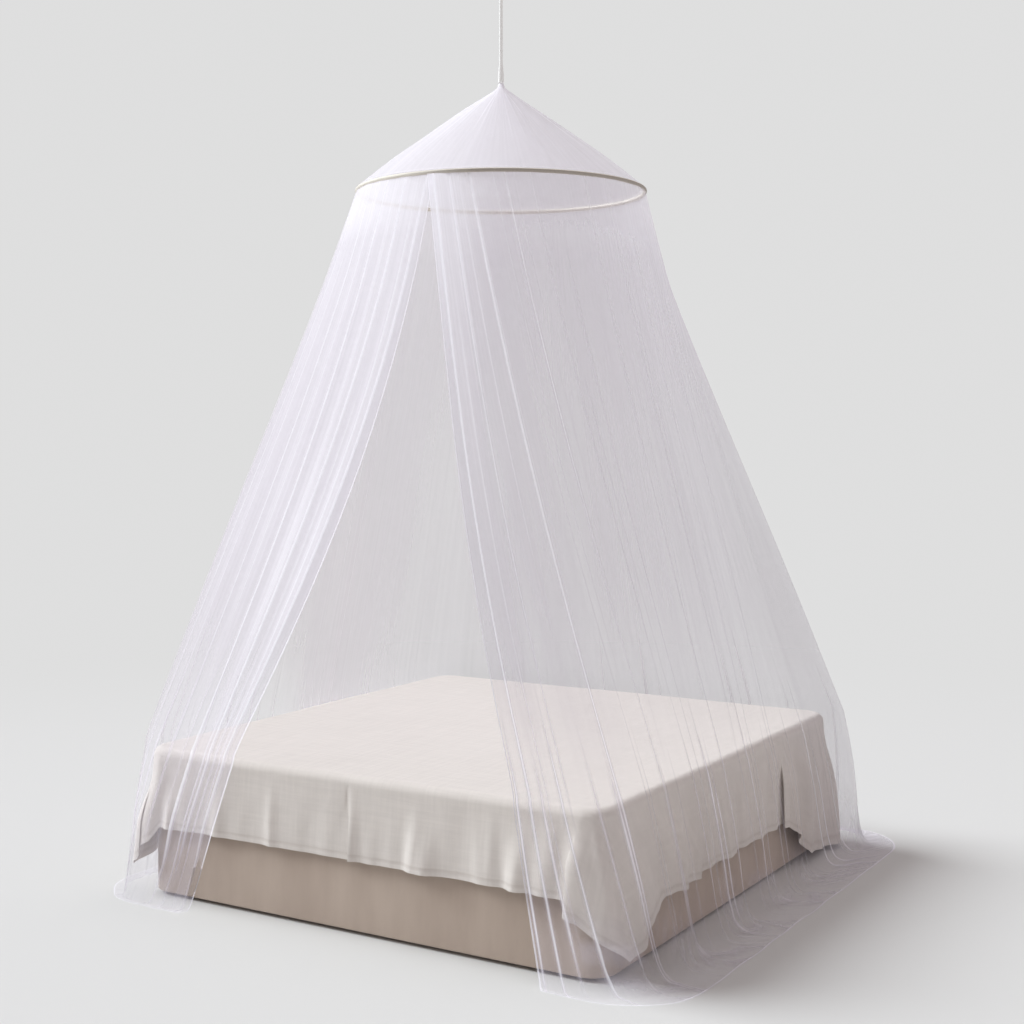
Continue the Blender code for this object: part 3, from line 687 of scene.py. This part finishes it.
def gridCloth(points, uvs, layers):
    # a flat grid of cloth, each of its points taken to where it hangs
    rows, cols = points.shape[:2]
    shape = bmesh.new()
    bmesh.ops.create_grid(shape, x_segments=cols - 1, y_segments=rows - 1, size=1)
    for vert in shape.verts:
        i = round((vert.co.x + 1) / 2 * (cols - 1))
        j = round((vert.co.y + 1) / 2 * (rows - 1))
        vert.index = j * cols + i
    flatPoints = points.reshape(-1, 3)
    flatUvs = uvs.reshape(-1, 2)
    flatLayers = layers.reshape(-1)
    uvLayer = shape.loops.layers.uv.new("cloth")
    thick = shape.verts.layers.float.new("layers")
    for vert in shape.verts:
        vert.co = flatPoints[vert.index]
        vert[thick] = flatLayers[vert.index]
    for face in shape.faces:
        for loop in face.loops:
            loop[uvLayer].uv = flatUvs[loop.vert.index]
    return shape


def softenShading(piece, smoothNormals, share):
    # sheer cloth glows from both its sides, so its small folds shade less than solid ones would
    own = np.array([vert.normal[:] for vert in piece.data.vertices])
    flat = smoothNormals.reshape(-1, 3)
    flat = flat * np.sign((own * flat).sum(1, keepdims=True) + 1e-9)
    mixed = own * (1 - share) + flat * share
    mixed /= np.linalg.norm(mixed, axis=1, keepdims=True)
    piece.data.normals_split_custom_set_from_vertices(mixed.tolist())


def creaseList(rng):
    # the creases that show from the front, faint long ones, and ones from the bed's edge down
    found = list(skirt["lines"])
    for i in range(skirt["faint"]):
        start = rng.choice([0.0, 0.0, rng.uniform(0.1, 0.5)])
        at, force = rng.random(), 0.04 + 0.30 * rng.random() ** 2.5
        force *= 0.3 + 0.7 * min(1, abs(at - 0.47) / 0.25)  # the far side hangs plainer
        found.append((at, force, start, start + rng.uniform(0.3, 1.0)))
    for i in range(skirt["lower"]):
        place = (i + rng.uniform(0.1, 0.9)) / skirt["lower"]
        force = rng.uniform(0.2, 1.0) * min(1, abs(place - 0.42) / 0.25)
        start, end = rng.uniform(skirt["bedEdge"], 0.78), rng.uniform(0.92, 1.0)
        found.append((place, force, start, end))
    return np.array(found)


def creaseRelief(creases, along, share, packed):
    # soft ridges, and a crest that is highest on the middle line of each crease
    wide, line = skirt["flatWidth"], skirt["lineWide"]
    relief, crest = np.zeros(share.shape), np.zeros(share.shape)
    for mark, force, start, end in creases:
        near = np.abs(along - mark) * wide < 0.30
        here = share[:, near]
        off = np.broadcast_to((along[None, near] - mark) * wide, here.shape)
        life = force * smooth((here - start + 0.06) / 0.12) * smooth((end - here + 0.06) / 0.12)
        body = 0.010 + 0.014 * here
        relief[:, near] += life * (0.002 + 0.007 * smooth(here * 2)) * np.exp(-(off / body) ** 2)
        low = smooth((here - skirt["bedEdge"]) / 0.1)
        fine = line * packed[:, near] * (0.7 + 0.5 * force) * (1 + 0.5 * low)
        crest[:, near] += life * np.exp(-(off / fine) ** 2)
    return relief, crest


def uprightFolds(rng, along, share):
    # soft upright folds at uneven places, each with its own breadth and length
    waves = np.zeros(share.shape)
    for _ in range(skirt["waves"]):
        at, broad = rng.random(), rng.uniform(0.03, 0.11)
        rise = rng.uniform(-1, 1) * broad * 0.10
        start, end = rng.uniform(-0.6, 0.6), rng.uniform(0.6, 1.6)
        off = (along - at) * skirt["flatWidth"]
        near = np.abs(off) < broad * 3
        here = share[:, near]
        life = smooth((here - start) / 0.4) * smooth((end - here) / 0.4)
        waves[:, near] += rise * life * np.exp(-(off[None, near] / broad) ** 2)
    return waves


def clothLayers(along, share, packed, crest, lying, rippled):
    # how many layers of net the eye meets: fewer where it is drawn out thin over the bed, more so on
    # the left, and more where it is gathered, creased or heaped on the floor
    gather = throughRows(skirt["gather"], along)[:, 1]
    onLeft = smooth((0.30 - along) / 0.12)
    onBack = smooth((0.24 - np.abs(along - 0.47)) / 0.08)
    most = 0.45 + 0.30 * onLeft - 0.25 * onBack
    thin = 1 - most * smooth((share - 0.42) / (0.34 + 0.10 * onLeft))
    low = smooth((share - skirt["bedEdge"]) / 0.10) * (1 - onLeft)
    thin = thin * (1 - 0.72 * low * (1 - onBack))
    thin = thin * (1 + 0.55 * onBack * smooth((share - 0.35) / 0.30))
    creased = crest * (3.0 + 1.2 * (1 - lying) + 1.8 * low) * (1 - 0.35 * onLeft)
    heaped = lying * (1.4 * rippled + 0.5) * (1 - 0.7 * onLeft)
    return packed * gather * thin + creased + heaped


def makeSkirt():
    rng = random.Random(skirt["seed"])
    wide = skirt["flatWidth"]
    creases = creaseList(rng)
    along = columnPlaces(skirt["columns"], creases[:, 0], skirt["lineWide"] * 1.2 / wide)
    edge = skirt["hemWide"] / wide
    along = np.sort(np.concatenate([along, [edge, 1 - edge, edge * 1.15, 1 - edge * 1.15]]))
    keys = skirtKeys(along)
    levels = len(keys) - 1
    upper, lower = skirt["upperRows"], levels - skirt["upperRows"]
    place = np.sort(np.concatenate([np.linspace(0, upper, upper * skirt["upperStep"] + 1)[:-1],
                                    np.linspace(upper, levels, lower * skirt["lowerStep"] + 1),
                                    [levels - 0.16, levels - 0.13]]))
    points = throughKeys(keys, place)
    down = np.cumsum(np.linalg.norm(np.diff(points, axis=0, prepend=points[:1]), axis=2), axis=0)
    share = down / down[-1:]
    # how many widths of cloth lie in one width of the fall
    step = np.gradient(along) * wide
    spacing = np.linalg.norm(np.gradient(points, axis=1), axis=2)
    packed = step[None, :] / np.maximum(spacing, 1e-5)
    packed = np.clip(packed, skirt["leastPacked"], skirt["mostPacked"])
    towards = points[:, :, :2] / np.linalg.norm(points[:, :, :2], axis=2, keepdims=True)
    hang = 1 - smooth((share - skirt["floorAt"]) / skirt["floorSpan"])
    lying = 1 - hang

    relief, crest = creaseRelief(creases, along, share, packed)
    waves = uprightFolds(rng, along, share)
    depth = 0.35 + 0.65 * smooth((packed - 1.2) / 1.6)
    taper = smooth(share / 0.10) * 0.9 + 0.1
    edgeCalm = smooth(np.minimum(along, 1 - along) / 0.006)
    out = (relief + waves * depth * taper) * (0.35 + 0.65 * edgeCalm)
    # below the bed's edge a fold may not go in, where the bedspread is
    out = np.maximum(out, -0.001 - 0.02 * (1 - smooth((share - 0.60) / 0.12)))
    points[:, :, :2] += towards * (out * hang)[:, :, None]
    # on the floor the cloth lies in low ripples that run round with the hem
    warp = along + 0.006 * np.sin(along * 61) + 0.004 * np.sin(along * 147 + 1)
    ripple = 0.5 + 0.5 * np.sin(share * 170 + 14 * np.sin(warp * 37) + 9 * np.sin(warp * 71 + 2))
    rippled = ripple * smooth(0.5 + 0.8 * np.sin(warp * 97 + 30 * share))
    ends = np.clip((1 - share) / 0.03, 0, 1)
    points[:, :, 2] += lying * ends * (0.0015 + 0.007 * rippled + 0.010 * crest)
    points[:, :, 2] = np.maximum(points[:, :, 2], skirt["floorClear"])
    points[:, :, :2] += np.array(axis.xy)

    layers = clothLayers(along, share, packed, crest, lying, rippled)
    sideHem = (np.minimum(along, 1 - along) <= edge * 1.01)[None, :]
    floorHem = (place >= levels - 0.135)[:, None]
    layers += (sideHem | floorHem) * skirt["hemGain"] + floorHem * skirt["floorHemGain"]
    layers[0:2] += 1.0  # the sewn top edge is turned over
    uvs = np.stack([np.broadcast_to(along * wide, share.shape), share * skirt["flatLength"]], -1)
    piece = finishPiece("net_skirt", gridCloth(points, uvs, layers), net, "skirt_net")
    lean = skirt["leanOut"] + skirt["catch"] * np.clip(crest, 0, 1)
    upright = np.concatenate([towards, lean[:, :, None]], axis=2)
    level = np.broadcast_to([0, 0, 1], upright.shape)
    softenShading(piece, upright * hang[:, :, None] + level * lying[:, :, None], skirt["soften"])
    piece.visible_shadow = False  # a veil this thin leaves no shadow of its own
    print("skirt:", len(piece.data.polygons) * 2, "triangles")


makeSkirt()


crown = {"columns": 560, "rows": 44, "creases": 54, "seed": 5, "neckRadius": 0.0095,
         "neckHeight": 3.0755, "clear": 0.0015, "rowCrowd": 1.25, "ripple": 0.005, "ridge": 0.006,
         "lineWide": 0.0024, "gathered": 4.1, "neckGain": 3.4, "creaseGain": 3.0, "rimWide": 0.006,
         "ease": 1.03, "leanOut": 1.15, "soften": 0.85,
         # share of the way out, share of the way down
         "profile": [(0.000, 0.000), (0.006, 0.030), (0.035, 0.082), (0.240, 0.262),
                     (0.500, 0.505), (0.760, 0.748), (1.000, 1.000)]}


def crownCreases(rng, turn, share, radius):
    # fine creases that start at the neck and die out at uneven places down the cone
    crest, lift = np.zeros((len(share), len(turn))), np.zeros((len(share), len(turn)))
    for i in range(crown["creases"]):
        mark = (i + rng.uniform(0, 0.9)) * 360 / crown["creases"]
        force = 0.08 + 0.75 * rng.random() ** 2.4
        reach = rng.uniform(0.15, 0.9)
        off = np.radians((turn - mark + 180) % 360 - 180)[None, :]
        wide = crown["lineWide"] / np.maximum(radius, 0.02)[:, None]
        life = force * smooth((reach - share) / 0.4)
        crest += life * np.exp(-(off / wide) ** 2)
        lift += crown["ridge"] * life * np.sin(math.pi * share ** 0.5) * np.exp(-(off / (4 * wide)) ** 2)
    return crest, lift


def makeCrown():
    hemHeight = hoopHigh.z + crown["clear"]
    keys = np.array(crown["profile"])[:, None, :]
    place = np.linspace(0, 1, crown["rows"]) ** crown["rowCrowd"] * (len(keys) - 1)
    line = throughKeys(keys, place)[:, 0]
    radius = crown["neckRadius"] + (hoopRadius - crown["neckRadius"]) * line[:, 0]
    height = crown["neckHeight"] + (hemHeight - crown["neckHeight"]) * line[:, 1]
    turn = np.linspace(0, 360, crown["columns"] + 1)
    share = line[:, :1]
    crest, lift = crownCreases(random.Random(crown["seed"]), turn, share, radius)
    gathers = np.cos(np.radians(turn * 16)) + 0.4 * np.sin(np.radians(turn * 5))
    lift += crown["ripple"] * np.sin(math.pi * share) * gathers
    direction = heading(turn)
    points = np.concatenate([radius[:, None, None] * direction[None],
                             (height[:, None] + lift)[:, :, None]], axis=2)
    points[:, :, :2] += np.array(axis.xy)
    layers = crown["gathered"] + crown["neckGain"] * np.exp(-radius / 0.06)[:, None]
    layers = layers + crest * crown["creaseGain"]
    layers += radius[:, None] > hoopRadius - crown["rimWide"]  # its rim is turned over
    length = math.hypot(hoopRadius, crown["neckHeight"] - hemHeight)
    girth = 2 * math.pi * hoopRadius * crown["ease"]
    uvs = np.stack([np.broadcast_to(turn / 360 * girth, crest.shape),
                    np.broadcast_to(share * length, crest.shape)], -1)
    piece = finishPiece("net_crown", gridCloth(points, uvs, layers), net, "crown_net")
    upright = np.concatenate([direction, np.full((len(turn), 1), crown["leanOut"])], axis=1)
    softenShading(piece, np.broadcast_to(upright[None], points.shape), crown["soften"])
    piece.visible_shadow = False  # as the skirt
    girth * length / 2 * crown["ease"]


makeCrown()
print("net ready")


bed = {
    # piece, the node it stands for, radius of its upright corners and of its edges, slot
    "blocks": [("upholstered_base", "bed_base", 0.09, 0.006, "taupe_upholstery"),
               ("recessed_plinth", "bed_plinth", 0.05, 0.002, "dark_plinth"),
               ("plain_mattress", "mattress", 0.096, 0.045, "mattress_ticking")],
    "cornerSegments": 14, "edgeSegments": 5,
}


def easedBlock(name, node, corner, edge, slot, finish):
    low, high, middle = boxOf(node)
    shape = bmesh.new()
    bmesh.ops.create_cube(shape, size=1)
    bmesh.ops.scale(shape, vec=high - low, verts=shape.verts)
    bmesh.ops.translate(shape, vec=middle, verts=shape.verts)
    upright = [e for e in shape.edges if abs(e.verts[0].co.z - e.verts[1].co.z) > 0.001]
    bmesh.ops.bevel(shape, geom=upright, offset=corner, segments=bed["cornerSegments"], profile=0.5,
                    affect="EDGES", material=-1)
    around = [e for e in shape.edges if abs(e.verts[0].co.z - e.verts[1].co.z) < 0.001
              and len(e.link_faces) == 2 and e.calc_face_angle() > 1]
    bmesh.ops.bevel(shape, geom=around, offset=edge, segments=bed["edgeSegments"], profile=0.5,
                    affect="EDGES", material=-1)
    bmesh.ops.recalc_face_normals(shape, faces=shape.faces)
    finishPiece(name, shape, finish, node)


for block, blockFinish in zip(bed["blocks"], (suede, gapShade, tick)):
    easedBlock(*block, blockFinish)
print("bed ready")


leftCorner = {"first": "end", "pleatAt": 0.030, "pleatWide": 0.050, "pleatTop": 0.060,
              "pleatBack": 0.012, "pleatOut": 0.006,
              "hem": [(-0.90, -0.90, 0.256), (0.0, 0.0, 0.256), (0.085, 0.100, 0.420),
                      (0.157, 0.300, 0.318), (1.060, 1.060, 0.318)]}

spread = {
    "edge": 0.034, "corner": 0.10, "footDrop": 0.256, "sideDrop": 0.318, "flare": 0.045,
    "cornerFlare": 0.020, "topStep": 0.013, "sideStep": 0.0056, "markStep": 0.0041, "flatEdge": 0.17,
    "swing": 1.3, "seed": 4, "folds": 150, "tuckAt": -0.022, "seamIn": 0.020, "seamWide": 0.004,
    "bunchAt": -0.205, "flapAt": 0.10, "creaseHigh": 0.0012, "topClear": 0.001,
    "floorClear": 0.004,
    # places run from a corner's first face to its second, from where the corner starts to turn;
    # hem rows: place, place at the hem, drop there
    "corners": [
        {"right": 1, "head": -1, "first": "end", "pleatAt": -0.030, "pleatWide": 0.050,
         "pleatTop": 0.015, "pleatBack": 0.026, "pleatOut": 0.017,
         "hem": [(-0.90, -0.90, 0.256), (-0.030, -0.030, 0.256), (0.020, 0.012, 0.318),
                 (0.085, 0.150, 0.458), (0.157, 0.427, 0.322), (1.060, 1.060, 0.318)]},
        {"right": 1, "head": 1, "first": "side", "pleatAt": -0.490, "pleatWide": 0.050,
         "pleatTop": 0.050, "pleatBack": 0.026, "pleatOut": 0.020,
         "hem": [(-0.915, -0.915, 0.318), (-0.490, -0.490, 0.318), (-0.440, -0.448, 0.335),
                 (-0.260, -0.260, 0.480), (-0.080, -0.080, 0.498), (0.157, 0.157, 0.500),
                 (0.450, 0.450, 0.400), (1.020, 1.020, 0.256)]},
        {"right": -1, "head": -1, **leftCorner},
        {"right": -1, "head": 1, **leftCorner},
    ],
}


def clothLines(half, drop, marks):
    # close lines over the edge and down the side, wider ones on the flat top, extra ones at marks
    flat = half - spread["flatEdge"]
    end = half + spread["edge"] * (math.pi / 2 - 1) + drop
    top = np.linspace(0, flat, round(flat / spread["topStep"]) + 1)
    side = np.linspace(flat, end, round((end - flat) / spread["sideStep"]) + 1)[1:]
    line = np.concatenate([top, side])
    both = np.concatenate([-line[:0:-1], line])
    extra = [mark + np.arange(-wide, wide, spread["markStep"]) for mark, wide in marks]
    return np.sort(np.concatenate([both, *extra]))


def softFolds(rng, along, drop):
    # shallow upright folds at uneven places round the bed, deeper towards the hem
    out = np.zeros(along.shape)
    for i in range(spread["folds"]):
        place = -3.4 + 8.4 * (i + rng.random()) / spread["folds"]
        wide = rng.uniform(0.013, 0.045)
        deep = rng.uniform(-0.4, 1.0) * wide * 0.60
        start = rng.uniform(-0.08, 0.08)
        lean = rng.uniform(-0.12, 0.12)
        off = along - place - lean * drop
        out += deep * smooth((drop - start) / 0.20) * np.exp(-(off / wide) ** 2)
    return out


def cornerPlaces(fold, first, second, down):
    # for each hanging point: its place round the corner at the bend, its place once it has swung,
    # how far down it hangs, and how far the pleat pushes it out
    corner = spread["corner"]
    arc = corner * math.pi / 2
    turned = np.arctan2(np.maximum(first, 0), np.maximum(second, 0)) * corner
    place = np.where(first < 0, first, np.where(second < 0, arc - second, turned))
    table = np.array(fold["hem"])
    reach = down * np.interp(place, table[:, 0], table[:, 2])
    moved = place + (np.interp(place, table[:, 0], table[:, 1]) - place) * down ** spread["swing"]
    pleat = (place - fold["pleatAt"]) / fold["pleatWide"]
    opened = smooth((reach - fold["pleatTop"]) / 0.13)
    moved += fold["pleatBack"] * np.sin(2 * math.pi * np.clip(pleat, 0, 1)) * opened
    after = 0.35 + 0.65 * np.exp(-np.maximum(pleat - 1, 0) * fold["pleatWide"] / 0.16)
    out = fold["pleatOut"] * smooth(pleat) * opened * after * (place < 0.6)
    return place, moved, reach, out


def cornerFolds(rng, fold, along, place, moved, reach, swap):
    # the folds of one corner: those that may go in, and those that only stand out
    folds = softFolds(rng, along, reach)
    if fold["head"] > 0:
        outer = smooth((place + 0.45) / 0.05) * smooth((0.3 - place) / 0.2) * swap
        return folds, outer * smooth(reach / 0.45) * 0.011 * (1 + np.sin(place * 47 + 3 * reach))
    bunched = np.exp(-((moved - spread["bunchAt"]) / 0.13) ** 2) * (fold["right"] > 0)
    out = 0.0065 * (1 + np.sin(moved * 58 + 5 * reach)) * bunched * smooth(reach / 0.25)
    flap = np.exp(-((moved - spread["flapAt"]) / 0.15) ** 2) * smooth((reach - 0.06) / 0.20)
    return folds, out + 0.0115 * (1 + np.sin(moved * 50 - 6 * reach)) * flap


def makeSpread():
    rng = random.Random(spread["seed"])
    top = boxOf("bedspread")[1].z - spread["topClear"]
    corner, edge = spread["corner"], spread["edge"]
    arc = corner * math.pi / 2
    halfX, halfY = halfBed
    lineX = clothLines(halfX, spread["sideDrop"], [(spread["tuckAt"], 0.009)])
    lineY = clothLines(halfY, spread["footDrop"], [(halfY - corner - 0.465, 0.030)])
    p, q = np.meshgrid(lineX, lineY)
    innerX, innerY = halfX - corner, halfY - corner
    cx, cy = np.clip(p, -innerX, innerX), np.clip(q, -innerY, innerY)
    dx, dy = p - cx, q - cy
    far = np.hypot(dx, dy)
    safe = np.maximum(far, 1e-9)
    nx, ny = np.abs(dx) / safe, np.abs(dy) / safe
    # flat on the top, then round the edge, then straight down
    bendStart = corner - edge
    past = np.maximum(far - bendStart, 0)
    angle = np.minimum(past / edge, math.pi / 2)
    plan = np.minimum(far, bendStart) + edge * np.sin(angle)
    height = top - edge * (1 - np.cos(angle))
    x, y = cx + np.sign(dx) * nx * plan, cy + np.sign(dy) * ny * plan
    # how far down its own side each hanging point is, from 0 at the bend to 1 at the hem
    drop = np.maximum(past - edge * math.pi / 2, 0)
    toHem = np.minimum((lineX[-1] - innerX) / np.maximum(nx, 1e-6),
                       (lineY[-1] - innerY) / np.maximum(ny, 1e-6)) - bendStart - edge * math.pi / 2
    share = np.clip(drop / toHem, 0, 1)
    for fold in spread["corners"]:
        right, head, swap = fold["right"], fold["head"], fold["first"] == "side"
        here = (drop > 0) & ((p >= 0) == (right > 0)) & ((q >= 0) == (head > 0))
        beyondX, beyondY = (p * right - innerX)[here], (q * head - innerY)[here]
        first, second = (beyondY, beyondX) if swap else (beyondX, beyondY)
        place, moved, reach, out = cornerPlaces(fold, first, second, share[here])
        # one line of folds runs round the bed, so that its sides don't repeat each other
        along = right * (innerX + moved + swap * (arc + 2 * innerY)) + 0.7 * (head > 0) * (right < 0)
        folds, more = cornerFolds(rng, fold, along, place, moved, reach, swap)
        out += more
        if head > 0:
            folds *= smooth(np.abs(p[here]) / 0.15)
        else:
            tuck = np.exp(-((p[here] - spread["tuckAt"]) / 0.005) ** 2)
            folds -= 0.0035 * tuck * smooth(reach / 0.05)
        atCorner = np.exp(-((moved - arc / 2) / 0.12) ** 2)
        away = corner + reach * (spread["flare"] + spread["cornerFlare"] * atCorner) + out
        away += np.maximum(folds, -0.004) + 0.002 * smooth(reach / 0.2)
        turn = np.clip(moved / corner, 0, math.pi / 2)
        firstAt = np.where(moved < 0, moved, away * np.sin(turn))
        secondAt = np.where(moved > arc, arc - moved, away * np.cos(turn))
        atX, atY = (secondAt, firstAt) if swap else (firstAt, secondAt)
        x[here] = right * (innerX + atX)
        y[here] = head * (innerY + atY)
        height[here] -= reach
    # long, low creases on the top
    crease = spread["creaseHigh"] * np.sin(p * 5.1 + 2.2 * np.sin(q * 2.3))
    crease += spread["creaseHigh"] * 0.75 * np.sin(q * 6.7 + 1.4 * np.sin(p * 3.1))
    height = height + (1 - smooth(past / 0.03)) * np.maximum(crease, -0.0006)
    height = np.maximum(height, spread["floorClear"])
    points = np.stack([x, y, height], -1)
    hemOff = np.minimum(lineX[-1] - np.abs(p), lineY[-1] - np.abs(q))
    stitch = np.exp(-((hemOff - spread["seamIn"]) / spread["seamWide"]) ** 2)
    shape = gridCloth(points, np.stack([p, q], -1), stitch)
    piece = finishPiece("linen_bedspread", shape, linen, "bedspread")
    piece.data.attributes["layers"].name = "stitch"
    print("bedspread:", len(piece.data.polygons) * 2, "triangles")


makeSpread()
print("bedspread ready")
